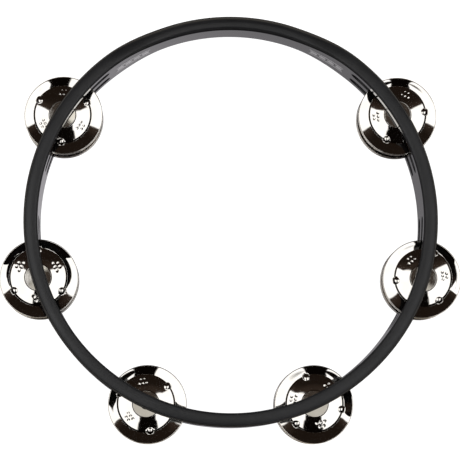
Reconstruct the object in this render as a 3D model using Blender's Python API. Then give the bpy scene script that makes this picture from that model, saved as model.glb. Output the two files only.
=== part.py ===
"""Headless tambourine: one moulded ring with six jingle positions and a narrowed
hand grip. Every position has a front slot and a back slot, a pair of cupped
jingles in each slot, and one long pin through both slots.

The tambourine lies flat on its back rim. +Z is the ring axis, from the back rim
to the front rim, and +Y points from the ring centre to the middle of the grip.
Units are metres. The origin is the centre of the bottom of the bounding box.
"""

import math

import bmesh
import bpy
from mathutils import Matrix, Vector

MM = 0.001
SHARP_ANGLE = math.radians(32.0)  # edges that bend more than this are shaded sharp

# ---- ring -------------------------------------------------------------------
RING_OUTER_R = 127.0 * MM  # ten-inch outside diameter
WALL = 8.74 * MM
RING_INNER_R = RING_OUTER_R - WALL
DEPTH = 45.0 * MM
MID_DEPTH = DEPTH / 2.0
EDGE_R = 1.3 * MM  # rounding of the rim edges along the jingle stretch
RING_STATIONS = 90
CORNER_STEPS = 2

# ---- hand grip: the stretch of ring with no jingles -------------------------
GRIP_MIDDLE_DEG = 90.0
GRIP_FLAT_HALF_DEG = 19.0  # half of the stretch at the narrowest depth
GRIP_END_HALF_DEG = 37.5  # where the ring is back to its full depth
GRIP_FRONT_DROP = 7.2 * MM
GRIP_BACK_RISE = 5.6 * MM
GRIP_OUTER_EDGE_R = 4.2 * MM
GRIP_INNER_EDGE_R = 2.6 * MM

# ---- jingle positions, evenly pitched about the point opposite the grip -----
PIN_CIRCLE_R = 122.6 * MM
PITCH_DEG = 49.1
POSITIONS = 6
# clockwise from the right-hand end of the grip, seen from the front
POSITION_DEG = [
    GRIP_MIDDLE_DEG + 180.0 + PITCH_DEG * ((POSITIONS - 1) / 2.0 - i)
    for i in range(POSITIONS)
]

# ---- slots ------------------------------------------------------------------
SLOT_HEIGHT = 8.6 * MM
SLOT_HALF_LENGTH = 36.0 * MM
SLOT_FROM_MIDDLE = 9.35 * MM  # slot centre to the middle of the ring depth
SLOT_END_STEPS = 6
# How far a slot cutter reaches past the wall. Inwards it also has to cover the
# curve of the wall, which falls back towards the ring centre at the slot's ends.
SLOT_INWARD_OVERRUN = 12.0 * MM
SLOT_OUTWARD_OVERRUN = 6.0 * MM

# ---- pins, each in a blind hole that opens at the back rim ------------------
PIN_SEGMENTS = 16
PIN_R = 1.1 * MM
PIN_HEAD_R = 2.2 * MM
PIN_HEAD_HEIGHT = 1.2 * MM
PIN_HEAD_BEVEL = 0.3 * MM
PIN_HEAD_SUNK = 0.4 * MM  # head's outer face, in from the back rim
PIN_HOLE_R = 1.17 * MM
PIN_HEAD_RECESS_R = 2.4 * MM
PIN_HEAD_RECESS = 1.9 * MM
PIN_HOLE_OVERRUN = 2.0 * MM  # how far a hole cutter sticks out of the back rim
PIN_HOLE_STOP = 3.0 * MM  # material left in front of the blind hole
PIN_HOLE_END = DEPTH - PIN_HOLE_STOP
PIN_TIP_GAP = 0.4 * MM

# ---- jingles ----------------------------------------------------------------
JINGLE_SEGMENTS = 24
PAIR_GAP = 0.4 * MM  # between the folds of a pair at rest
# The hole is much wider than the pin, so each jingle hangs on its pin: with the
# grip at the top, the jingle's middle is this far below the pin.
HANG = 1.3 * MM
# Closed half-section of one jingle, as radius and height above the fold where the
# two jingles of a pair nearly meet, in millimetres. The brim flares up from the
# fold, and inside it the crown steps up and rises to a low dome round the hole.
JINGLE_SECTION_MM = (
    (17.5, 0.0),
    (24.3, 0.95),
    (24.3, 1.45),
    (17.8, 0.5),
    (16.3, 1.75),
    (8.8, 2.55),
    (6.6, 3.1),
    (2.7, 3.25),
    (2.7, 2.7),
    (16.2, 1.1),
)
JINGLE_SECTION = [(radius * MM, height * MM) for radius, height in JINGLE_SECTION_MM]
JINGLE_R = max(radius for radius, height in JINGLE_SECTION)
# Jingles at one position: name, offset of the slot's centre from the middle of
# the depth, and which way the jingle's dome faces (1 front, -1 back).
JINGLE_STACK = (
    ("front_outer", SLOT_FROM_MIDDLE, 1),
    ("front_inner", SLOT_FROM_MIDDLE, -1),
    ("back_inner", -SLOT_FROM_MIDDLE, 1),
    ("back_outer", -SLOT_FROM_MIDDLE, -1),
)

# ---- ring centre ------------------------------------------------------------
# The two lowest positions are half a pitch either side of the point opposite the
# grip. Their jingles reach past the ring, so the ring's centre is a little
# towards +Y from the middle of the bounding box.
BOTTOM_REACH = JINGLE_R + HANG + PIN_CIRCLE_R * math.cos(math.radians(PITCH_DEG / 2.0))
RING_CENTRE = Vector((0.0, (BOTTOM_REACH - RING_OUTER_R) / 2.0, 0.0))


# ---- helpers ----------------------------------------------------------------
def clear_scene():
    for obj in list(bpy.data.objects):
        bpy.data.objects.remove(obj, do_unlink=True)


def add_material(name, colour, metallic, roughness):
    made = bpy.data.materials.new(name)
    made.use_nodes = True
    made.diffuse_color = (*colour, 1.0)
    shader = made.node_tree.nodes["Principled BSDF"]
    shader.inputs["Base Color"].default_value = (*colour, 1.0)
    shader.inputs["Metallic"].default_value = metallic
    shader.inputs["Roughness"].default_value = roughness
    return made


def add_object(name, mesh, location):
    obj = bpy.data.objects.new(name, mesh)
    bpy.context.scene.collection.objects.link(obj)
    obj.location = location
    return obj


def bridge(shape, low, high):
    """A band of four-sided faces between two closed loops of equal length."""
    for k in range(len(low)):
        j = (k + 1) % len(low)
        shape.faces.new((low[k], low[j], high[j], high[k]))


def finish_mesh(name, shape):
    bmesh.ops.recalc_face_normals(shape, faces=shape.faces[:])
    mesh = bpy.data.meshes.new(name)
    shape.to_mesh(mesh)
    shape.free()
    return mesh


def shade(mesh):
    mesh.shade_smooth()
    mesh.set_sharp_from_angle(angle=SHARP_ANGLE)


def lathe(name, section, segments):
    """A closed body turned about Z from a half-section of (radius, height).
    A section that starts and ends at radius 0 closes on the axis, and any other
    section is joined from its last point back to its first."""
    shape = bmesh.new()
    loops = []
    for radius, height in section:
        if radius == 0.0:
            loops.append([shape.verts.new((0.0, 0.0, height))])
            continue
        turns = [2.0 * math.pi * k / segments for k in range(segments)]
        loops.append(
            [
                shape.verts.new((radius * math.cos(turn), radius * math.sin(turn), height))
                for turn in turns
            ]
        )
    on_axis = len(loops[0]) == 1 and len(loops[-1]) == 1
    for i in range(len(loops) - 1 if on_axis else len(loops)):
        low, high = loops[i], loops[(i + 1) % len(loops)]
        if len(low) == 1:
            for k in range(segments):
                shape.faces.new((low[0], high[(k + 1) % segments], high[k]))
        elif len(high) == 1:
            for k in range(segments):
                shape.faces.new((low[k], low[(k + 1) % segments], high[0]))
        else:
            bridge(shape, low, high)
    mesh = finish_mesh(name, shape)
    shade(mesh)
    return mesh


def on_pin_circle(turn_deg, height=0.0):
    """The point of a jingle position, at this turn and height."""
    turn = math.radians(turn_deg)
    return RING_CENTRE + Vector(
        (PIN_CIRCLE_R * math.cos(turn), PIN_CIRCLE_R * math.sin(turn), height)
    )


# ---- frame ------------------------------------------------------------------
def smooth_step(value):
    value = min(1.0, max(0.0, value))
    return value * value * (3.0 - 2.0 * value)


def grip_amount(turn_deg):
    """0 along the jingle stretch, 1 in the middle of the grip."""
    off = abs((turn_deg - GRIP_MIDDLE_DEG + 180.0) % 360.0 - 180.0)
    span = GRIP_END_HALF_DEG - GRIP_FLAT_HALF_DEG
    return smooth_step((GRIP_END_HALF_DEG - off) / span)


def ring_section(turn_deg):
    """Closed section of the ring wall as (radius, height) points, with the four
    corners rounded. The grip is shallower and has softer edges."""
    grip = grip_amount(turn_deg)
    front = DEPTH - GRIP_FRONT_DROP * grip
    back = GRIP_BACK_RISE * grip
    outer_edge = EDGE_R + (GRIP_OUTER_EDGE_R - EDGE_R) * grip
    inner_edge = EDGE_R + (GRIP_INNER_EDGE_R - EDGE_R) * grip
    # corner radius and height, edge rounding, direction from the corner to the
    # rounding's centre (radial, up), and the angle where the rounding starts
    corners = (
        (RING_INNER_R, back, inner_edge, 1, 1, 180.0),
        (RING_OUTER_R, back, outer_edge, -1, 1, 270.0),
        (RING_OUTER_R, front, outer_edge, -1, -1, 0.0),
        (RING_INNER_R, front, inner_edge, 1, -1, 90.0),
    )
    points = []
    for radius, height, edge, radial, up, start in corners:
        for k in range(CORNER_STEPS + 1):
            turn = math.radians(start + 90.0 * k / CORNER_STEPS)
            points.append(
                (
                    radius + radial * edge + edge * math.cos(turn),
                    height + up * edge + edge * math.sin(turn),
                )
            )
    return points


def ring_mesh():
    """The ring before it is cut."""
    shape = bmesh.new()
    stations = []
    for i in range(RING_STATIONS):
        turn_deg = 360.0 * i / RING_STATIONS
        turn = math.radians(turn_deg)
        stations.append(
            [
                shape.verts.new((radius * math.cos(turn), radius * math.sin(turn), height))
                for radius, height in ring_section(turn_deg)
            ]
        )
    for i in range(RING_STATIONS):
        bridge(shape, stations[i], stations[(i + 1) % RING_STATIONS])
    return finish_mesh("frame", shape)


def slot_outline():
    """A slot with half-round ends, as (distance along the slot, height)."""
    half = SLOT_HEIGHT / 2.0
    straight = SLOT_HALF_LENGTH - half
    outline = []
    for side, start in ((1, -90.0), (-1, 90.0)):
        for k in range(SLOT_END_STEPS + 1):
            turn = math.radians(start + 180.0 * k / SLOT_END_STEPS)
            outline.append((side * straight + half * math.cos(turn), half * math.sin(turn)))
    return outline


def slot_cutter_mesh():
    """A straight bar for every slot, two to a position."""
    shape = bmesh.new()
    outline = slot_outline()
    reach = (RING_INNER_R - SLOT_INWARD_OVERRUN, RING_OUTER_R + SLOT_OUTWARD_OVERRUN)
    for turn_deg in POSITION_DEG:
        spin = Matrix.Rotation(math.radians(turn_deg), 4, "Z")
        for offset in (SLOT_FROM_MIDDLE, -SLOT_FROM_MIDDLE):
            height = MID_DEPTH + offset
            near, far = [
                [
                    shape.verts.new(spin @ Vector((radius, along, height + up)))
                    for along, up in outline
                ]
                for radius in reach
            ]
            shape.faces.new(near[::-1])
            shape.faces.new(far)
            bridge(shape, near, far)
    return finish_mesh("slot_cutter", shape)


def pin_hole_cutter_mesh():
    """A recess for the head in the back rim, then a plain hole that stops short
    of the front rim."""
    section = (
        (0.0, -PIN_HOLE_OVERRUN),
        (PIN_HEAD_RECESS_R, -PIN_HOLE_OVERRUN),
        (PIN_HEAD_RECESS_R, PIN_HEAD_RECESS),
        (PIN_HOLE_R, PIN_HEAD_RECESS),
        (PIN_HOLE_R, PIN_HOLE_END),
        (0.0, PIN_HOLE_END),
    )
    return lathe("pin_hole_cutter", section, PIN_SEGMENTS)


def add_cut(obj, name, cutter):
    modifier = obj.modifiers.new(name, "BOOLEAN")
    modifier.operation = "DIFFERENCE"
    modifier.solver = "EXACT"
    modifier.object = cutter


def add_frame(plastic):
    ring = ring_mesh()
    ring.materials.append(plastic)
    frame = add_object("frame", ring, RING_CENTRE)

    slots = add_object("slot_cutter", slot_cutter_mesh(), RING_CENTRE)
    add_cut(frame, "jingle_slots", slots)
    cutters = [slots]
    hole_mesh = pin_hole_cutter_mesh()
    for i, turn_deg in enumerate(POSITION_DEG, start=1):
        hole = add_object(f"pin_hole_cutter_{i}", hole_mesh, on_pin_circle(turn_deg))
        add_cut(frame, f"pin_hole_{i}", hole)
        cutters.append(hole)

    # The cuts are made into the ring's own mesh, so that its edges can be
    # marked sharp afterwards.
    graph = bpy.context.evaluated_depsgraph_get()
    cut_ring = bpy.data.meshes.new_from_object(frame.evaluated_get(graph))
    frame.modifiers.clear()
    frame.data = cut_ring
    cut_ring.name = "frame_ring"
    shade(cut_ring)
    for cutter in cutters:
        bpy.data.objects.remove(cutter, do_unlink=True)


# ---- pins and jingles -------------------------------------------------------
def add_pins(steel):
    head_top = PIN_HEAD_SUNK + PIN_HEAD_HEIGHT
    tip = PIN_HOLE_END - PIN_TIP_GAP
    section = (
        (0.0, PIN_HEAD_SUNK),
        (PIN_HEAD_R - PIN_HEAD_BEVEL, PIN_HEAD_SUNK),
        (PIN_HEAD_R, PIN_HEAD_SUNK + PIN_HEAD_BEVEL),
        (PIN_HEAD_R, head_top),
        (PIN_R, head_top),
        (PIN_R, tip),
        (0.0, tip),
    )
    mesh = lathe("pin", section, PIN_SEGMENTS)
    mesh.materials.append(steel)
    for i, turn_deg in enumerate(POSITION_DEG, start=1):
        pin = add_object(f"pin_{i}", mesh, on_pin_circle(turn_deg))
        pin.rotation_euler.z = math.radians(turn_deg)


def add_jingles(nickel):
    mesh = lathe("jingle", JINGLE_SECTION, JINGLE_SEGMENTS)
    mesh.materials.append(nickel)
    hang = Vector((0.0, HANG, 0.0))
    for i, turn_deg in enumerate(POSITION_DEG, start=1):
        for where, slot_offset, facing in JINGLE_STACK:
            height = MID_DEPTH + slot_offset + facing * PAIR_GAP / 2.0
            location = on_pin_circle(turn_deg, height) - hang
            jingle = add_object(f"jingle_{i}_{where}", mesh, location)
            flip = math.pi if facing < 0 else 0.0
            jingle.rotation_euler = (flip, 0.0, math.radians(turn_deg))


def build():
    clear_scene()
    add_frame(
        add_material(
            "moulded_plastic", colour=(0.03, 0.03, 0.032), metallic=0.0, roughness=0.45
        )
    )
    add_pins(
        add_material("pin_steel", colour=(0.45, 0.44, 0.43), metallic=1.0, roughness=0.3)
    )
    add_jingles(
        add_material("plated_steel", colour=(0.72, 0.70, 0.67), metallic=1.0, roughness=0.12)
    )


build()
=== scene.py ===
"""A tambourine: a near-black plastic ring with a grip and 24 nickel jingles.

The ring lies flat with its axis along Z, its back rim on the floor at z = 0 and
its front rim up. The grip is on the +Y side. At each of six positions round the
ring one pin, standing along Z, carries four jingles, two in each of two slots.
Lengths are in millimetres and are scaled by MM where they meet Blender.
"""
import math

import bmesh
import bpy
import numpy as np
from mathutils import Matrix, Vector


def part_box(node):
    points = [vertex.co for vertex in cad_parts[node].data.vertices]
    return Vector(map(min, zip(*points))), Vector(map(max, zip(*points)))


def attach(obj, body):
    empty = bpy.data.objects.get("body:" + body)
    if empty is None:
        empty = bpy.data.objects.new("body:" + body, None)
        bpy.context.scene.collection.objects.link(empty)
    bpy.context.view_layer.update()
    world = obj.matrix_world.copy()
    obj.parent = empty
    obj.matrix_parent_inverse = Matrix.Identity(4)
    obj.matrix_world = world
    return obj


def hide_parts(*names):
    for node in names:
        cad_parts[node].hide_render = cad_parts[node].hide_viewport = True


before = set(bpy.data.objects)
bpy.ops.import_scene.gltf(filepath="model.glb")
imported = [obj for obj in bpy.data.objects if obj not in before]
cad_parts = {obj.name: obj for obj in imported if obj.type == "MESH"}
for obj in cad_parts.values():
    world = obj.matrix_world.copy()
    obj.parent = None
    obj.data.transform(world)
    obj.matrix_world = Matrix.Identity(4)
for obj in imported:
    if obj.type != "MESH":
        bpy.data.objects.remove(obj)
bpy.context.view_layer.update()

MM = 0.001
POSITIONS = range(1, 7)


def corners(node):
    low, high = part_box(node)
    return Vector(low), Vector(high)


def middle(node):
    low, high = corners(node)
    return (low + high) / 2.0


# ---------------------------------------------------------------- dimensions
RING_LOW, RING_HIGH = corners("frame")
CENTRE = middle("frame")
DEPTH = (RING_HIGH.z - RING_LOW.z) / MM
OUTER_R = (RING_HIGH.x - RING_LOW.x) / 2.0 / MM
WALL = 8.74
INNER_R = OUTER_R - WALL
# the edge radii of the ring's section, outside and inside, away from the grip
OUTER_EDGE_R, INNER_EDGE_R = 1.5, 1.3
# how far the crowned rims fall to the outer and inner edge, and their crest
RIM_FALL_OUT, RIM_FALL_IN = 1.15, 0.3
CREST_R = (INNER_R + OUTER_R) / 2.0 - 1.0
GRIP_CROWN_LOSS = 0.7
CORNER_STEPS, RIM_STEPS = 7, 6

# the grip: angles in degrees, then how far the front and back rims draw in
GRIP_MIDDLE, GRIP_FLAT_HALF, GRIP_END_HALF = 90.0, 19.0, 37.5
GRIP_FRONT_DROP, GRIP_BACK_RISE = 7.2, 5.6
GRIP_OUTER_EDGE_R, GRIP_INNER_EDGE_R = 4.2, 2.6

SLOT_HALF_HEIGHT, SLOT_HALF_LENGTH = 4.3, 36.0
SLOT_OFF = 9.35  # from the middle of the ring's depth to a slot's middle
# a slot's rounded mouth: depth into the wall from its face, growth of the outline
SLOT_MOUTH = (
    (-3.0, 3.2), (-0.15, 1.17), (0.07, 0.55), (0.26, 0.267), (0.52, 0.084), (0.9, 0.0),
)
SLOT_END_STEPS, SLOT_SIDE_STEPS = 12, 20

PIN_AT = {i: middle(f"pin_{i}") for i in POSITIONS}
PIN_R, PIN_HEAD_R = 1.1, 2.2
PIN_HOLE_R, PIN_RECESS_R, PIN_RECESS = 1.17, 2.4, 1.9
PIN_STOP = DEPTH - 3.0  # where the blind hole ends
MOUTH_R = PIN_RECESS_R + 0.35  # the wide end of the recess's chamfer
# (radius, z) of the cutter for a pin's hole and the recess for its head
PIN_HOLE_SECTION = (
    (0.0, -2.0), (MOUTH_R, -2.0), (MOUTH_R, -0.02), (PIN_RECESS_R, 0.33),
    (PIN_RECESS_R, PIN_RECESS), (PIN_HOLE_R, PIN_RECESS), (PIN_HOLE_R, PIN_STOP),
    (0.0, PIN_STOP),
)

# the jingle: sheet thickness, then radii from the hole out to the brim
SHEET = 0.5
HOLE_R, BOSS_TOP_R, BOSS_R = 2.7, 8.0, 8.55
STEP_TOP_R, BRIM_FOLD_R, BRIM_R = 16.95, 17.95, 24.12
RIM_BEAD_R = BRIM_R - 0.55  # where the flat of the brim meets its bead
BOSS_SHIFT = 0.35
TOP_SLOPE = -0.02
DOME_CURVE = -0.0145  # slope of the domed crown per mm of radius
# radius of a corner, slope outside it (None: the domed crown), half its softness
SLOPES = (
    (BOSS_TOP_R, -0.66, 0.07),
    (BOSS_R, None, 0.07),
    (STEP_TOP_R, -0.62, 0.14),
    (BRIM_FOLD_R, 0.285, 0.045),
)
PROFILE_STEP = 0.02
# three domed pips on the step: distance out, half width, rise, lean of the dome
PIP_R, PIP_HALF, PIP_RISE, PIP_LEAN = 16.9, 2.2, 0.62, 0.2
# patches of punched dots between the pips: distance out, dot radius, depth
DOTS_R, DOT_R, DOT_DEPTH = 13.3, 0.95, 0.17
# (outward, round) of each dot from the middle of its patch
DOTS = ((-1.3, -2.3), (-1.3, 0.0), (-1.3, 2.3), (1.3, -1.15), (1.3, 1.15))

STACK = ("front_outer", "front_inner", "back_inner", "back_outer")
# degrees each stack is turned about its pin, and from each jingle to the next
JINGLE_TURN = {1: 5.6, 2: 66.0, 3: 107.8, 4: 39.0, 5: 89.7, 6: 27.0}
STACK_TURN = 37.0
# (x, y) of each crown from the middle of its brim
CROWN_SHIFT = {
    1: (0.1, 1.2), 2: (0.9, 0.9), 3: (0.5, 0.7),
    4: (-0.9, 0.6), 5: (-0.5, 1.1), 6: (-0.6, 0.6),
}
# brims bent up in a sector: first and last degree round the pin from +X,
# extra slope, and how far beyond the fold the bend starts
BENT_SECTORS = {
    2: ((30.0, 70.0, 0.15, 0.3),),
    3: ((-16.0, 16.0, 0.15, 0.3),),
    4: ((150.0, 178.0, 0.15, 0.3),),
    5: ((34.0, 158.0, 0.15, 0.3),),
}
BEND_BLEND = 6.0  # half the degrees over which a sector fades in and out
# brims bent up in a crescent from the fold: first and last degree, slope, width
BENT_CRESCENTS = {
    2: ((-20.0, 46.0, 0.26, 1.8),),
    5: ((-22.0, 50.0, 0.26, 2.0), (126.0, 200.0, 0.26, 1.4)),
}

# the print on the inner wall: name and angle in degrees
PRINTS = (("print_left", 120.9), ("print_right", 59.5))
PRINT_THICK, PRINT_GAP = 0.06, 0.01
PRINT_LEAST_HALF = 0.02  # half height of a shape at its very ends
BAR = {"half_along": 12.5, "half_up": 1.2, "corner": 1.1}
BLOCK = {"half_along": 2.3, "half_up": 3.2, "corner": 1.5}
BAR_OFFS = (-6.0, 6.0)
BLOCK_OFFS = (-9.0, -3.0, 3.0, 9.0)

# the camera: tilts in degrees, and the ring's middle in the camera's own axes
TILT_X, TILT_Y = -4.89, 1.35
RING_IN_VIEW = Vector((0.16, 4.65, -1689.0))
SENSOR, LENS = 36.0, 213.33913


# --------------------------------------------------------------- mesh helpers
def smooth(x, low, high):
    part = min(1.0, max(0.0, (x - low) / (high - low)))
    return part * part * (3.0 - 2.0 * part)


def mesh_object(name, shell, angle=40.0):
    mesh = bpy.data.meshes.new(name)
    shell.to_mesh(mesh)
    shell.free()
    mesh.shade_smooth()
    mesh.set_sharp_from_angle(angle=math.radians(angle))
    return link_object(name, mesh)


def link_object(name, data):
    obj = bpy.data.objects.new(name, data)
    bpy.context.scene.collection.objects.link(obj)
    return obj


def face_out(shell):
    bmesh.ops.recalc_face_normals(shell, faces=shell.faces[:])


def stand_in(obj, node):
    """The object takes the CAD node's place, moves with it and fills its slot."""
    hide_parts(node)
    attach(obj, node)


def lofted(shell, rings, closed_rings=True):
    """Quads between neighbouring rings; if closed, the last joins the first."""
    count = len(rings)
    for i in range(count if closed_rings else count - 1):
        here, there = rings[i], rings[(i + 1) % count]
        for k in range(len(here)):
            j = (k + 1) % len(here)
            shell.faces.new((here[k], here[j], there[j], there[k]))


def lathe(name, section, segments, angle=40.0):
    """A solid turned from (radius, z) points that start and end on the axis."""
    shell = bmesh.new()
    turns = [2 * math.pi * k / segments for k in range(segments)]
    rings = [
        [
            shell.verts.new((radius * MM * math.cos(t), radius * MM * math.sin(t), z * MM))
            for t in turns
        ]
        for radius, z in section
    ]
    # a fan to a single point takes the place of each end ring
    for end, other in ((rings[0], rings[1]), (rings[-1], rings[-2])):
        point = shell.verts.new((0.0, 0.0, end[0].co.z))
        for k in range(segments):
            shell.faces.new((other[k], other[(k + 1) % segments], point))
        bmesh.ops.delete(shell, geom=end, context="VERTS")
    lofted(shell, rings[1:-1], closed_rings=False)
    face_out(shell)
    return mesh_object(name, shell, angle)


def cut_away(obj, cutters):
    for cutter in cutters:
        modifier = obj.modifiers.new("cut", "BOOLEAN")
        modifier.operation = "DIFFERENCE"
        modifier.solver = "MANIFOLD"
        modifier.object = cutter
    graph = bpy.context.evaluated_depsgraph_get()
    bpy.context.view_layer.update()
    cut = bpy.data.meshes.new_from_object(obj.evaluated_get(graph))
    obj.modifiers.clear()
    obj.data = cut
    for cutter in cutters:
        bpy.data.objects.remove(cutter, do_unlink=True)


# ------------------------------------------------------------------ materials
class Nodes:
    """Short calls for a material's or the world's node tree."""

    def __init__(self, tree):
        self.tree = tree

    def link(self, out, into):
        self.tree.links.new(out, into)

    def fill(self, node, inputs):
        """Links each input to a socket, or sets it to a plain value."""
        for key, value in inputs.items():
            if isinstance(value, bpy.types.NodeSocket):
                self.link(value, node.inputs[key])
            else:
                node.inputs[key].default_value = value

    def add(self, kind, inputs=None, **settings):
        node = self.tree.nodes.new(kind)
        for key, value in settings.items():
            setattr(node, key, value)
        self.fill(node, inputs or {})
        return node

    def math(self, operation, first, second=0.0, third=None):
        inputs = {0: first, 1: second}
        if third is not None:
            inputs[2] = third
        return self.add("ShaderNodeMath", inputs, operation=operation).outputs[0]

    def linear(self, value, times, plus):
        return self.math("MULTIPLY_ADD", value, times, plus)

    def times(self, first, second):
        return self.math("MULTIPLY", first, second)

    def plus(self, base, value, times):
        return self.math("ADD", base, self.times(value, times))

    def distance(self, x, y):
        return self.math("SQRT", self.math("ADD", self.times(x, x), self.times(y, y)))

    def ramp(self, value, low, high, start=0.0, end=1.0):
        """Smoothstep of value from low to high, mapped to start..end."""
        inputs = {
            "Value": value, "From Min": low, "From Max": high, "To Min": start, "To Max": end,
        }
        node = self.add("ShaderNodeMapRange", inputs, interpolation_type="SMOOTHSTEP")
        return node.outputs["Result"]

    def fade(self, value, low, high):
        """One up to low, nothing from high on."""
        return self.ramp(value, low, high, start=1.0, end=0.0)

    def mix(self, factor, first, second):
        inputs = {0: factor, 6: first, 7: second}
        return self.add("ShaderNodeMix", inputs, data_type="RGBA").outputs[2]

    def noise(self, coords, scale, detail, rough=0.5):
        inputs = {"Vector": coords, "Scale": scale, "Detail": detail, "Roughness": rough}
        return self.add("ShaderNodeTexNoise", inputs).outputs["Fac"]

    def stretch(self, coords, scale, turn=0.0):
        inputs = {"Vector": coords, "Scale": scale, "Rotation": (0.0, 0.0, turn)}
        return self.add("ShaderNodeMapping", inputs).outputs["Vector"]

    def place(self):
        return self.add("ShaderNodeTexCoord").outputs["Object"]

    def split(self, vector):
        return self.add("ShaderNodeSeparateXYZ", {0: vector}).outputs

    def geometry(self, name):
        return self.add("ShaderNodeNewGeometry").outputs[name]

    def bumps(self, shader, *layers):
        """Chained bump maps, each one laid over the next; distances in metres."""
        into = shader.inputs["Normal"]
        for inputs in layers:
            node = self.add("ShaderNodeBump", inputs)
            self.link(node.outputs["Normal"], into)
            into = node.inputs["Normal"]

    def blend_out(self, factor, first, second):
        """The material's output is a blend of two shaders."""
        inputs = {0: factor, 1: first.outputs[0], 2: second.outputs[0]}
        both = self.add("ShaderNodeMixShader", inputs)
        self.link(both.outputs[0], self.tree.nodes["Material Output"].inputs[0])


def new_material(name):
    made = bpy.data.materials.new(name)
    made.use_nodes = True
    return made, Nodes(made.node_tree), made.node_tree.nodes["Principled BSDF"]


def plastic_material():
    """Near-black moulded plastic: a fine grain, slow patches of gloss, faint
    handling marks, and a little more polish on worn edges."""
    black = (0.0095, 0.0095, 0.0104, 1.0)
    soft_black = (0.0135, 0.0135, 0.0147, 1.0)
    scuffed = (0.03, 0.03, 0.031, 1.0)
    # painted shade: the colour the plastic takes in the jingles' reflections
    reflected_shade_black = (0.004, 0.004, 0.004, 1.0)
    scuff_cover = 0.35
    reflected_shade_share = 0.88

    made, net, shader = new_material("moulded_plastic_fine_grain")
    place = net.place()
    grain = net.noise(place, scale=2600.0, detail=3.0, rough=0.6)
    slow = net.noise(place, scale=45.0, detail=3.0)
    patch = net.noise(place, scale=9.0, detail=2.0)
    stretched = net.stretch(place, scale=(1.0, 1.0, 14.0))
    marks = net.noise(stretched, scale=160.0, detail=6.0, rough=0.7)
    scuff = net.ramp(marks, low=0.66, high=0.8)
    worn = net.ramp(net.geometry("Pointiness"), low=0.52, high=0.6)
    base = net.mix(net.ramp(slow, low=0.3, high=0.7), black, soft_black)
    base = net.mix(net.times(scuff, scuff_cover), base, scuffed)

    # the two rims carry the grain; the walls are smooth
    facing = net.split(net.geometry("Normal"))[2]
    flat = net.ramp(net.math("ABSOLUTE", facing), low=0.05, high=0.7)
    on_rim = net.ramp(patch, low=0.25, high=0.75, start=0.32, end=0.40)
    on_wall = net.ramp(patch, low=0.25, high=0.75, start=0.06, end=0.09)
    rough = net.math(
        "ADD", net.times(on_rim, flat), net.times(on_wall, net.math("SUBTRACT", 1.0, flat))
    )
    rough = net.plus(rough, scuff, times=-0.07)
    rough = net.plus(rough, worn, times=-0.08)

    # in the jingles' reflections the plastic turns near-black: painted shade on the ring as
    # the metal sees it
    second = net.add("ShaderNodeLightPath").outputs["Is Glossy Ray"]
    # painted shade: the rounded shoulders of the rims get less specular, which draws dark
    # lines along the rim edges
    lean = net.math("ABSOLUTE", facing)
    shoulder_shade = net.times(
        net.ramp(lean, low=0.01, high=0.06), net.fade(lean, low=0.5, high=0.8)
    )
    net.fill(shader, {
        "Base Color": base,
        "Roughness": rough,
        "IOR": 1.5,
        "Specular IOR Level": net.linear(shoulder_shade, times=-0.48, plus=0.5),
    })
    reflected_shade = net.add("ShaderNodeBsdfDiffuse", {"Color": reflected_shade_black})
    net.blend_out(net.times(second, reflected_shade_share), shader, reflected_shade)
    grain_strength = net.linear(flat, times=0.35, plus=0.03)
    slow_strength = net.linear(flat, times=0.17, plus=0.08)
    net.bumps(
        shader,
        {"Strength": grain_strength, "Distance": 0.00006, "Height": grain},
        {"Strength": slow_strength, "Distance": 0.0003, "Height": slow},
    )
    return made


def nickel_material(seed):
    """Bright nickel plate: mirror-like, with fine turning rings, hairline
    scratches, faint haze near the rim and a slightly warm tint."""
    deep_nickel = (0.80, 0.765, 0.715, 1.0)
    light_nickel = (0.86, 0.83, 0.79, 1.0)
    ring_shift = seed * 0.37  # moves the turning rings from one plate to the next
    scratch_turn = 0.7 + seed

    made, net, shader = new_material(f"nickel_plate_{seed}")
    place = net.place()
    x, y, _ = net.split(place)
    radius = net.distance(x, y)
    rings = net.add(
        "ShaderNodeTexNoise",
        {"W": net.math("ADD", radius, ring_shift), "Scale": 2400.0, "Detail": 3.0},
        noise_dimensions="1D",
    )
    mottled = net.noise(place, scale=130.0 + seed, detail=3.0)
    haze = net.noise(place, scale=420.0, detail=4.0, rough=0.6)
    streak = net.stretch(place, scale=(1.0, 26.0, 1.0), turn=scratch_turn)
    hair = net.ramp(net.noise(streak, scale=240.0, detail=2.0), low=0.68, high=0.74)
    tint = net.mix(net.ramp(mottled, low=0.3, high=0.7), deep_nickel, light_nickel)
    rough = net.ramp(haze, low=0.3, high=0.75, start=0.03, end=0.06)
    rim = net.ramp(radius, low=0.0232, high=0.0241, start=0.0, end=0.03)
    rough = net.math("ADD", rough, rim)
    rough = net.plus(rough, hair, times=0.06)
    net.fill(shader, {"Base Color": tint, "Metallic": 1.0, "Roughness": rough})
    net.bumps(
        shader,
        {"Strength": 0.10, "Distance": 0.00002, "Height": rings.outputs["Fac"]},
        {"Strength": 0.35, "Distance": 0.00003, "Height": mottled},
    )
    return made


def pin_material():
    """Drawn steel wire: fine lines along the pin and slow spots of tone."""
    dark_steel = (0.42, 0.41, 0.39, 1.0)
    light_steel = (0.56, 0.55, 0.53, 1.0)

    made, net, shader = new_material("drawn_steel_pin")
    place = net.place()
    along = net.stretch(place, scale=(1.0, 1.0, 0.04))
    lines = net.noise(along, scale=5200.0, detail=4.0, rough=0.6)
    spots = net.noise(place, scale=900.0, detail=3.0)
    net.fill(shader, {
        "Base Color": net.mix(net.ramp(spots, low=0.35, high=0.7), dark_steel, light_steel),
        "Metallic": 1.0,
        "Roughness": net.ramp(lines, low=0.3, high=0.7, start=0.22, end=0.38),
    })
    net.bumps(shader, {"Strength": 0.3, "Distance": 0.00003, "Height": lines})
    return made


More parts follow.
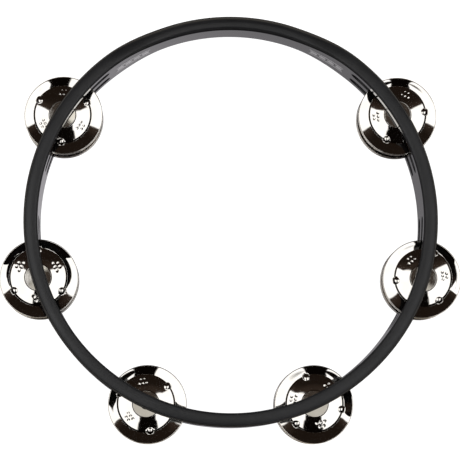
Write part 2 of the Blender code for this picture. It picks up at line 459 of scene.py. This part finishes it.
def print_material():
    """Silvery pad-printed ink, slightly uneven."""
    thin_ink = (0.84, 0.84, 0.84, 1.0)
    full_ink = (0.92, 0.92, 0.91, 1.0)

    made, net, shader = new_material("pad_print_ink")
    cover = net.noise(net.place(), scale=900.0, detail=5.0, rough=0.6)
    net.fill(shader, {
        "Base Color": net.mix(net.ramp(cover, low=0.3, high=0.55), thin_ink, full_ink),
        "Metallic": 0.9,
        "Roughness": net.ramp(cover, low=0.3, high=0.7, start=0.14, end=0.10),
    })
    return made


# ----------------------------------------------------------------- the ring
def grip_amount(deg):
    """One on the flat of the grip, easing to nothing at its ends."""
    off = abs((deg - GRIP_MIDDLE + 180.0) % 360.0 - 180.0)
    return smooth(GRIP_END_HALF - off, 0.0, GRIP_END_HALF - GRIP_FLAT_HALF)


def ring_section(deg):
    """(radius, z) points round the ring's section at an angle."""
    grip = grip_amount(deg)
    front = DEPTH - GRIP_FRONT_DROP * grip
    back = GRIP_BACK_RISE * grip
    outer = OUTER_EDGE_R + (GRIP_OUTER_EDGE_R - OUTER_EDGE_R) * grip
    inner = INNER_EDGE_R + (GRIP_INNER_EDGE_R - INNER_EDGE_R) * grip
    # radius and z of a corner, its edge radius, the way in to its centre, start
    # angle, and the radius its rim runs on to (None where a wall follows)
    edges = (
        (INNER_R, back, inner, 1, 1, 180.0, OUTER_R - outer),
        (OUTER_R, back, outer, -1, 1, 270.0, None),
        (OUTER_R, front, outer, -1, -1, 0.0, INNER_R + inner),
        (INNER_R, front, inner, 1, -1, 90.0, None),
    )
    points = []
    for radius, z, edge, side, up, start, across_to in edges:
        for k in range(CORNER_STEPS + 1):
            t = math.radians(start + 90.0 * k / CORNER_STEPS)
            points.append(
                (radius + side * edge + edge * math.cos(t), z + up * edge + edge * math.sin(t))
            )
        if across_to is not None:
            across_from = points[-1][0]
            for k in range(1, RIM_STEPS):
                part_way = (across_to - across_from) * k / RIM_STEPS
                points.append((across_from + part_way, z))

    # both rims are a little crowned, falling away more to the outside
    crowned = []
    for radius, z in points:
        if radius > CREST_R:
            fall = RIM_FALL_OUT * ((radius - CREST_R) / (OUTER_R - CREST_R)) ** 2
        else:
            fall = RIM_FALL_IN * ((CREST_R - radius) / (CREST_R - INNER_R)) ** 2
        fall *= 1.0 - GRIP_CROWN_LOSS * grip
        crowned.append((radius, z - fall if z > DEPTH / 2.0 else z + fall))
    return crowned


def ring_body():
    shell = bmesh.new()
    stations = 360
    rings = []
    for i in range(stations):
        deg = 360.0 * i / stations
        cos, sin = math.cos(math.radians(deg)), math.sin(math.radians(deg))
        rings.append(
            [
                shell.verts.new((radius * cos * MM, radius * sin * MM, z * MM))
                for radius, z in ring_section(deg)
            ]
        )
    lofted(shell, rings)
    face_out(shell)
    return mesh_object("tambourine_ring", shell)


def slot_outline(grow):
    """(along, up) points of a round-ended slot, larger all round by grow."""
    straight = SLOT_HALF_LENGTH - SLOT_HALF_HEIGHT
    half = SLOT_HALF_HEIGHT + grow
    outline = []
    for side in (1, -1):
        for k in range(SLOT_END_STEPS + 1):
            t = math.radians(-90.0 + 180.0 * k / SLOT_END_STEPS)
            outline.append((side * (straight + half * math.cos(t)), side * half * math.sin(t)))
        for k in range(1, SLOT_SIDE_STEPS):
            outline.append((side * straight * (1.0 - 2.0 * k / SLOT_SIDE_STEPS), side * half))
    return outline


def slot_cutter(angle, middle_z):
    """One slot through the wall, with its two mouths rounded over. Each layer
    is the slot's outline, a little larger near the two faces of the wall."""
    layers = [(INNER_R + depth, grow) for depth, grow in SLOT_MOUTH]
    layers += [(OUTER_R - depth, grow) for depth, grow in reversed(SLOT_MOUTH)]
    shell = bmesh.new()
    spin = Matrix.Rotation(angle, 3, "Z")
    rings = []
    for radius, grow in layers:
        ring = []
        for along, up in slot_outline(grow):
            out = math.sqrt(radius * radius - along * along)
            ring.append(
                shell.verts.new(spin @ Vector((out * MM, along * MM, (middle_z + up) * MM)))
            )
        rings.append(ring)
    lofted(shell, rings, closed_rings=False)
    shell.faces.new(rings[0][::-1])
    shell.faces.new(rings[-1])
    face_out(shell)
    return mesh_object("slot_cutter", shell)


def pin_hole_cutter(at):
    cutter = lathe("pin_hole_cutter", PIN_HOLE_SECTION, 32)
    cutter.location = (at.x - CENTRE.x, at.y - CENTRE.y, 0.0)
    return cutter


def make_ring(look):
    ring = ring_body()
    cutters = []
    for at in PIN_AT.values():
        angle = math.atan2(at.y - CENTRE.y, at.x - CENTRE.x)
        for off in (SLOT_OFF, -SLOT_OFF):
            cutters.append(slot_cutter(angle, DEPTH / 2.0 + off))
    cutters += [pin_hole_cutter(at) for at in PIN_AT.values()]
    cut_away(ring, cutters)
    mesh = ring.data
    mesh.shade_smooth()
    mesh.set_sharp_from_angle(angle=math.radians(50.0))
    ring.location = (CENTRE.x, CENTRE.y, 0.0)
    # the cut can leave empty material slots behind
    mesh.materials.clear()
    mesh.materials.append(look)
    weighted = ring.modifiers.new("even_normals", "WEIGHTED_NORMAL")
    weighted.keep_sharp = True
    weighted.weight = 60
    stand_in(ring, "frame")


# ------------------------------------------------------------------ jingles
def slope_at(radius):
    """The outer face's slope over the radius: a flat-topped boss, a gently
    domed crown, a step down, and a brim that flares up, with rounded corners."""
    slope = TOP_SLOPE
    for corner, after, soft in SLOPES:
        if after is None:
            after = DOME_CURVE * radius
        slope += (after - slope) * smooth(radius, corner - soft, corner + soft)
    return slope


def profile():
    """Radii and the outer face's heights over them, its fold at one sheet."""
    radii = np.arange(0.0, BRIM_R + PROFILE_STEP, PROFILE_STEP)
    slopes = np.array([slope_at(radius + PROFILE_STEP / 2.0) for radius in radii])
    rises = np.concatenate(([0.0], np.cumsum(slopes[:-1]) * PROFILE_STEP))
    return radii, rises - rises.min() + SHEET


PROFILE = profile()


def top_height(radius):
    return float(np.interp(radius, *PROFILE))


def pip_rise(x, y):
    """How far three small domed pips stand above the step at a place."""
    rise = 0.0
    radius = math.hypot(x, y)
    for k in range(3):
        t = math.radians(120.0 * k)
        off = math.hypot(x - PIP_R * math.cos(t), y - PIP_R * math.sin(t))
        if off < PIP_HALF:
            foot = top_height(PIP_R) - PIP_LEAN * (radius - PIP_R)
            dome = foot + PIP_RISE * (1.0 - (off / PIP_HALF) ** 2)
            rise = max(rise, dome - top_height(radius))
    return rise


def dot_depth(x, y):
    """How deep the punched dots between the pips are at a place."""
    depth = 0.0
    for k in range(3):
        t = math.radians(60.0 + 120.0 * k)
        cos, sin = math.cos(t), math.sin(t)
        outward = x * cos + y * sin - DOTS_R
        around = -x * sin + y * cos
        for dot_out, dot_round in DOTS:
            off = math.hypot(outward - dot_out, around - dot_round)
            if off < DOT_R:
                depth = max(depth, DOT_DEPTH * (1.0 - (off / DOT_R) ** 2))
    return depth


def feature_angles(fine):
    """Angles round the jingle, closer together across the pips and, on the
    fine one, the dots."""
    angles, deg = [], 0.0
    while deg < 360.0 - 1e-6:
        angles.append(deg)
        from_pip = deg % 120.0
        if min(from_pip, 120.0 - from_pip) < 7.6:
            deg += 0.8 if fine else 1.5
        elif abs(from_pip - 60.0) < 13.5 and fine:
            deg += 1.125
        else:
            deg += 3.0 if fine else 4.0
    if 360.0 - angles[-1] < 0.5:
        angles.pop()
    return [math.radians(deg) for deg in angles]


# radii of the rings of vertices on the outer face, from the hole to the bead
FINE_RADII = [
    HOLE_R + 0.12, 3.4, 4.6, 5.8, 6.9, 7.6, 7.85, 7.93, 7.98, 8.02, 8.07, 8.16,
    8.3, 8.4, 8.48, 8.53, 8.57, 8.62, 8.8, 9.3, 10.0, 10.7,
    *np.arange(11.0, 15.6, 0.29), *np.arange(15.6, 16.5, 0.22),
    16.66, 16.81, 16.9, 17.0, 17.09, 17.2,
    17.4, 17.6, 17.8, 17.89, 17.93, 17.97, 18.01, 18.1, 18.3, 18.6,
    18.9, 19.2, 20.0, 21.0, 22.0, 23.0, 23.4, RIM_BEAD_R,
]
PLAIN_RADII = [
    HOLE_R + 0.12, 5.0, 7.5, 7.93, 8.07, 8.48, 8.62, 9.0, 10.5, 12.5, 14.4,
    15.2, 15.7, 16.2, 16.6, 16.9, 17.2, 17.7, 17.95, 18.15, 18.6, 19.2,
    20.5, 22.0, 23.2, RIM_BEAD_R,
]
# the brim's rim turned down into a bead: radius from BRIM_R, height from the brim
BEAD = (
    (-0.47, 0.016), (-0.38, 0.018), (-0.28, -0.005), (-0.19, -0.05),
    (-0.11, -0.12), (-0.05, -0.21), (-0.01, -0.31), (0.0, -0.42),
    (-0.04, -0.53), (-0.14, -0.6), (-0.3, -0.6), (-0.45, -0.55),
)
# radii on the under side, from the bead back to the hole
UNDER_RADII = (
    23.2, 22.0, 20.0, 19.0, 18.3, 18.0, 17.6, 17.1, 16.7, 16.2, 15.4, 13.0, 10.5,
    9.0, 8.6, 8.3, 7.9, 5.0, HOLE_R + 0.1,
)
HOLE_EDGE = 0.1  # how far the hole's wall stays from the two faces


def jingle_mesh(name, fine):
    """One pressed jingle, its fold on z = 0 and its crown up, with its first
    pip on +X. The under side follows the outer face one sheet below."""
    angles = feature_angles(fine)
    shell = bmesh.new()

    def ring(radius, height, pips=False, dots=False):
        verts = []
        for t in angles:
            x, y, z = radius * math.cos(t), radius * math.sin(t), height
            if pips:
                z += pip_rise(x, y)
            if dots:
                z -= dot_depth(x, y)
            verts.append(shell.verts.new((x * MM, y * MM, z * MM)))
        return verts

    rings = []
    for radius in FINE_RADII if fine else PLAIN_RADII:
        rings.append(ring(radius, top_height(radius), pips=True, dots=fine))
    rim = top_height(RIM_BEAD_R)
    for out, up in BEAD:
        rings.append(ring(BRIM_R + out, rim + up))
    for radius in UNDER_RADII:
        rings.append(ring(radius, max(0.0, top_height(radius) - SHEET), pips=True))
    top = top_height(HOLE_R)
    for height in (top - SHEET + HOLE_EDGE, top - HOLE_EDGE):
        rings.append(ring(HOLE_R, height))
    lofted(shell, rings)
    face_out(shell)
    mesh = bpy.data.meshes.new(name)
    shell.to_mesh(mesh)
    shell.free()
    mesh.shade_smooth()
    mesh.set_sharp_from_angle(angle=math.radians(60.0))
    return mesh


def bend(i, x, y, radius):
    """How far the brim of a front outer jingle is bent up at a place, in mm."""
    here = math.degrees(math.atan2(y, x))
    over = min(radius, BRIM_R) - BRIM_FOLD_R

    def unwrapped(first):
        return (here - first + 90.0) % 360.0 + first - 90.0

    tall = 0.0
    for first, last, slope, start in BENT_SECTORS.get(i, ()):
        deg = unwrapped(first)
        near = smooth(deg, first - BEND_BLEND, first + BEND_BLEND)
        near *= 1.0 - smooth(deg, last - BEND_BLEND, last + BEND_BLEND)
        tall = max(tall, slope * near * (over - start))
    for first, last, slope, width in BENT_CRESCENTS.get(i, ()):
        part = (unwrapped(first) - first) / (last - first)
        if 0.0 < part < 1.0:
            # widest in the middle
            wide = width * math.sin(math.pi * part) ** 0.6
            tall = max(tall, slope * min(over, wide))
    return tall


def settle(mesh, i, bent):
    """Shifts the crown and boss off the middle of the brim, and bends the brim."""
    shift_x, shift_y = CROWN_SHIFT[i]
    for vert in mesh.vertices:
        radius = math.hypot(vert.co.x, vert.co.y) / MM
        crown = 1.0 - smooth(radius, 18.6, 23.6)
        boss = 1.0 - smooth(radius, 8.9, 12.5)
        if bent:
            vert.co.z += bend(i, vert.co.x, vert.co.y, radius) * MM
        vert.co.x += shift_x * crown * MM
        vert.co.y += (shift_y * crown - BOSS_SHIFT * boss) * MM


def make_jingles():
    looks = [nickel_material(seed) for seed in range(3)]
    fine = jingle_mesh("jingle_pressed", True)
    plain = jingle_mesh("jingle_pressed_plain", False)
    for i in POSITIONS:
        for j, where in enumerate(STACK):
            node = f"jingle_{i}_{where}"
            low, high = corners(node)
            crown_up = where in ("front_outer", "back_inner")
            mesh = (fine if where.endswith("outer") else plain).copy()
            mesh.name = f"{node}_sheet"
            mesh.materials.append(looks[(i + j) % 3])
            spin = Matrix.Rotation(math.radians(JINGLE_TURN[i] + STACK_TURN * j), 4, "Z")
            flip = Matrix.Identity(4) if crown_up else Matrix.Rotation(math.pi, 4, "X")
            mesh.transform(spin @ flip)
            settle(mesh, i, bent=where == "front_outer")
            jingle = link_object(f"{node}_pressed", mesh)
            at = middle(node)
            jingle.location = (at.x, at.y, low.z if crown_up else high.z)
            stand_in(jingle, node)


# --------------------------------------------------------------------- pins
def pin_section(length):
    """(radius, z) points from the head, at the back, to the pin's front tip."""
    return (
        (0.0, 0.0), (1.2, 0.02), (1.8, 0.1), (2.1, 0.25),
        (PIN_HEAD_R, 0.45), (PIN_HEAD_R, 1.12), (2.12, 1.2), (1.25, 1.2),
        (PIN_R, 1.32), (PIN_R, length - 0.35), (0.85, length), (0.0, length),
    )


def make_pins(look):
    for i in POSITIONS:
        low, high = corners(f"pin_{i}")
        pin = lathe(f"pin_{i}_wire", pin_section((high.z - low.z) / MM), 40, angle=35.0)
        pin.location = (PIN_AT[i].x, PIN_AT[i].y, low.z)
        pin.data.materials.append(look)
        stand_in(pin, f"pin_{i}")


# --------------------------------------------- a plain print on the inner wall
def patch_on_wall(shell, deg, middle_z, half_along, half_up, corner):
    """A thin rounded rectangle lying on the inner wall."""
    steps = 28
    levels = (-1, -0.5, 0, 0.5, 1)
    top = len(levels) - 1
    columns = []  # distance along, half the height there
    for i in range(steps + 1):
        along = -half_along + 2.0 * half_along * i / steps
        inset = max(0.0, abs(along) - (half_along - corner))
        half = half_up - corner + math.sqrt(max(0.0, corner**2 - inset**2))
        columns.append((along, max(half, PRINT_LEAST_HALF)))

    def layer(radius):
        rows = []
        for along, half in columns:
            t = math.radians(deg) + along / INNER_R
            x, y = radius * math.cos(t) * MM, radius * math.sin(t) * MM
            rows.append(
                [shell.verts.new((x, y, (middle_z + level * half) * MM)) for level in levels]
            )
        return rows

    face = layer(INNER_R - PRINT_GAP - PRINT_THICK)
    back = layer(INNER_R - PRINT_GAP)
    for i in range(steps):
        j = i + 1
        for k in range(top):
            shell.faces.new((face[i][k], face[j][k], face[j][k + 1], face[i][k + 1]))
            shell.faces.new((back[i][k], back[i][k + 1], back[j][k + 1], back[j][k]))
        for k in (0, top):
            shell.faces.new((face[i][k], back[i][k], back[j][k], face[j][k]))
    for i in (0, steps):
        for k in range(top):
            shell.faces.new((face[i][k], face[i][k + 1], back[i][k + 1], back[i][k]))


def make_prints(look):
    """At both ends of the grip, a row of four blocks between two long bars."""
    grip_z = DEPTH / 2.0 - (GRIP_FRONT_DROP - GRIP_BACK_RISE) / 2.0
    for name, deg in PRINTS:
        shell = bmesh.new()
        for up in BAR_OFFS:
            patch_on_wall(shell, deg, grip_z + up, **BAR)
        for along in BLOCK_OFFS:
            patch_on_wall(shell, deg + math.degrees(along / INNER_R), grip_z, **BLOCK)
        face_out(shell)
        marks = mesh_object(name, shell)
        marks.location = (CENTRE.x, CENTRE.y, 0.0)
        marks.data.materials.append(look)
        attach(marks, "frame")


# ------------------------------------------------------- floor, world, camera
def floor_material():
    """White to the camera, grey to diffuse light. Mirrors see it glow with painted light:
    bright outside the ring, falling off from left (-X) to right inside, with painted shadow
    under the ring and just beyond it. Metres."""
    grey = (0.30, 0.30, 0.30, 1.0)
    white = (1.0, 1.0, 1.0, 1.0)
    inside_painted_tint = (1.0, 0.965, 1.01, 1.0)
    outside_painted_tint = (1.0, 0.88, 0.72, 1.0)
    camera_glow = 1.0
    outside = {"low": 0.155, "high": 0.185}  # distance from the origin

    made, net, shader = new_material("pale_floor")
    path = net.add("ShaderNodeLightPath").outputs
    net.fill(shader, {
        "Base Color": grey,
        "Roughness": 0.9,
        "Specular IOR Level": 0.0,
        "Emission Color": white,
        "Emission Strength": net.times(path["Is Camera Ray"], camera_glow),
    })
    # what mirrors see of the floor is painted light: a glow, cream and bright outside the
    # ring, falling off from left to right inside it
    painted_floor_light = net.add("ShaderNodeEmission")
    x, y, _ = net.split(net.geometry("Position"))
    far = net.distance(x, y)
    inside = net.linear(x, times=-1.05, plus=0.36)
    # painted shadow: the inside glow fades to almost nothing under the ring and stays low just
    # outside it until the outside glow rises
    inside = net.times(inside, net.ramp(far, low=0.122, high=0.135, start=1.0, end=0.06))
    tone = net.mix(net.ramp(far, **outside), inside_painted_tint, outside_painted_tint)
    bright = net.math("ADD", inside, net.ramp(far, **outside))
    scaled = net.add("ShaderNodeVectorMath", operation="SCALE")
    net.fill(scaled, {0: tone, "Scale": bright})
    net.fill(painted_floor_light, {"Color": scaled.outputs[0]})
    net.blend_out(path["Is Glossy Ray"], shader, painted_floor_light)
    return made


def make_floor():
    shell = bmesh.new()
    bmesh.ops.create_grid(shell, x_segments=1, y_segments=1, size=6.0)
    floor = mesh_object("studio_floor", shell)
    floor.location = (0.0, 0.0, -0.0002)
    floor.data.materials.append(floor_material())


def mirror_room(net, x, z, across, rise):
    """What mirrors see: two white panels left (-X) and right, a dark stand
    between them, and a dark room. Across and rise are x and y over z."""
    panel_white = (1.35, 1.35, 1.35, 1.0)
    room_brown, room_warm = (0.0125, 0.0082, 0.0058, 1.0), (0.034, 0.0235, 0.0175, 1.0)
    room_black = (0.0022, 0.0014, 0.0010, 1.0)
    gap_brown, gap_left = (0.046, 0.036, 0.029, 1.0), (0.34, 0.33, 0.30, 1.0)
    gap_low, gap_middle = (0.58, 0.56, 0.51, 1.0), (0.95, 0.93, 0.85, 1.0)
    horizon, horizon_sides = (0.34, 0.33, 0.31, 1.0), (0.95, 0.94, 0.90, 1.0)
    middle_across = 0.03  # where the middle between the panels lies
    least_top = 0.21  # the lowest the panels' tops come
    panel_edge = {"low": -0.015, "high": 0.015}

    side = net.math("ABSOLUTE", net.math("SUBTRACT", across, middle_across))
    down = net.times(rise, -1.0)
    # the panels' tops rise to the sides, and their lower corners are cut off
    top = net.linear(net.math("ABSOLUTE", across), times=0.5, plus=0.07)
    above = net.math("SUBTRACT", rise, net.math("MAXIMUM", top, least_top))
    lit = net.fade(above, **panel_edge)
    lit = net.times(lit, net.fade(side, low=0.72, high=0.80))
    lit = net.times(lit, net.fade(down, low=0.75, high=0.85))
    corner = net.math("ADD", side, down)
    lit = net.times(lit, net.fade(corner, low=0.90, high=0.98))
    lit = net.times(lit, net.ramp(z, low=0.3, high=0.45))
    # the camera and its stand, black, wider lower down
    half = net.linear(down, times=0.175, plus=0.115)
    edge = net.math("SUBTRACT", side, half)
    stand = net.times(
        net.fade(edge, low=-0.012, high=0.016), net.ramp(down, low=0.03, high=0.06)
    )
    lit = net.times(lit, net.math("SUBTRACT", 1.0, stand))
    # the gap between the panels, above the camera
    gap = net.times(net.fade(down, low=0.03, high=0.06), net.fade(side, low=0.115, high=0.13))
    lit = net.times(lit, net.math("SUBTRACT", 1.0, gap))
    gap = net.times(gap, net.fade(above, **panel_edge))
    low_part = net.fade(rise, low=0.025, high=0.045)
    left_part = net.times(
        net.fade(across, low=-0.05, high=-0.03), net.fade(rise, low=0.085, high=0.10)
    )
    middle_part = net.times(
        net.ramp(across, low=-0.035, high=-0.02), net.fade(across, low=0.02, high=0.03)
    )
    middle_part = net.times(middle_part, net.ramp(rise, low=0.095, high=0.105))
    # the room: brown above the panels, warmest just above them, black below
    warm = net.times(
        net.ramp(above, low=-0.05, high=0.0), net.fade(above, low=0.0, high=0.2)
    )
    warm = net.times(warm, net.ramp(z, low=0.3, high=0.45))
    back = net.mix(warm, room_brown, room_warm)
    back = net.mix(net.ramp(rise, low=-0.03, high=0.08), room_black, back)
    tone = net.mix(left_part, gap_brown, gap_left)
    tone = net.mix(low_part, tone, gap_low)
    tone = net.mix(middle_part, tone, gap_middle)
    back = net.mix(gap, back, tone)
    mirror = net.mix(lit, back, panel_white)
    # along the horizon the room is light, more so to the two sides
    to_side = net.ramp(net.math("ABSOLUTE", x), low=0.25, high=0.8)
    around = net.mix(to_side, horizon, horizon_sides)
    return net.mix(net.fade(z, low=0.20, high=0.30), mirror, around)


def make_world():
    """A soft white studio for diffuse light, white to the camera, and a room
    of panels for mirrors."""
    soft_white, side_white = (1.25, 1.25, 1.265, 1.0), (1.8, 1.8, 1.82, 1.0)
    dull_grey, camera_white = (0.06, 0.06, 0.062, 1.0), (1.05, 1.05, 1.05, 1.0)
    least_z = 0.02  # keeps the divisions finite at the horizon

    world = bpy.data.worlds.new("studio")
    bpy.context.scene.world = world
    world.use_nodes = True
    world.node_tree.nodes.clear()
    net = Nodes(world.node_tree)
    out = net.add("ShaderNodeOutputWorld")
    background = net.add("ShaderNodeBackground")
    net.link(background.outputs[0], out.inputs[0])
    x, y, z = net.split(net.add("ShaderNodeTexCoord").outputs["Generated"])
    depth = net.math("MAXIMUM", z, least_z)
    across = net.math("DIVIDE", x, depth)
    rise = net.math("DIVIDE", y, depth)
    mirror = mirror_room(net, x, z, across, rise)
    path = net.add("ShaderNodeLightPath").outputs
    # diffuse light is dull towards +Y and -Y and strongest from the two sides
    dull = net.math(
        "MAXIMUM", net.ramp(y, low=0.3, high=0.85), net.fade(y, low=-0.65, high=-0.1)
    )
    to_side = net.ramp(net.math("ABSOLUTE", x), low=0.4, high=0.8)
    soft = net.mix(dull, net.mix(to_side, soft_white, side_white), dull_grey)
    soft = net.mix(path["Is Camera Ray"], soft, camera_white)
    seen = net.mix(path["Is Glossy Ray"], soft, mirror)
    net.fill(background, {"Color": seen, "Strength": 1.0})


def make_camera():
    """A long lens looking down, almost along the ring's axis."""
    tilt_x = Matrix.Rotation(math.radians(TILT_X), 3, "X")
    tilt_y = Matrix.Rotation(math.radians(TILT_Y), 3, "Y")
    turned = (tilt_x @ tilt_y).transposed()
    from_ring = -(turned @ RING_IN_VIEW) * MM
    ring_middle = Vector((CENTRE.x, CENTRE.y, DEPTH / 2.0 * MM))
    data = bpy.data.cameras.new("camera")
    data.sensor_width = SENSOR
    data.lens = LENS
    data.clip_start, data.clip_end = 0.05, 20.0
    camera = link_object("camera", data)
    camera.matrix_world = Matrix.Translation(from_ring + ring_middle) @ turned.to_4x4()
    bpy.context.scene.camera = camera


def set_view():
    view = bpy.context.scene.view_settings
    view.view_transform = "Standard"
    view.look = "None"
    view.exposure = 0.0
    view.gamma = 1.0


make_ring(plastic_material())
make_jingles()
make_pins(pin_material())
make_prints(print_material())
make_floor()
make_world()
make_camera()
set_view()

bpy.context.view_layer.update()
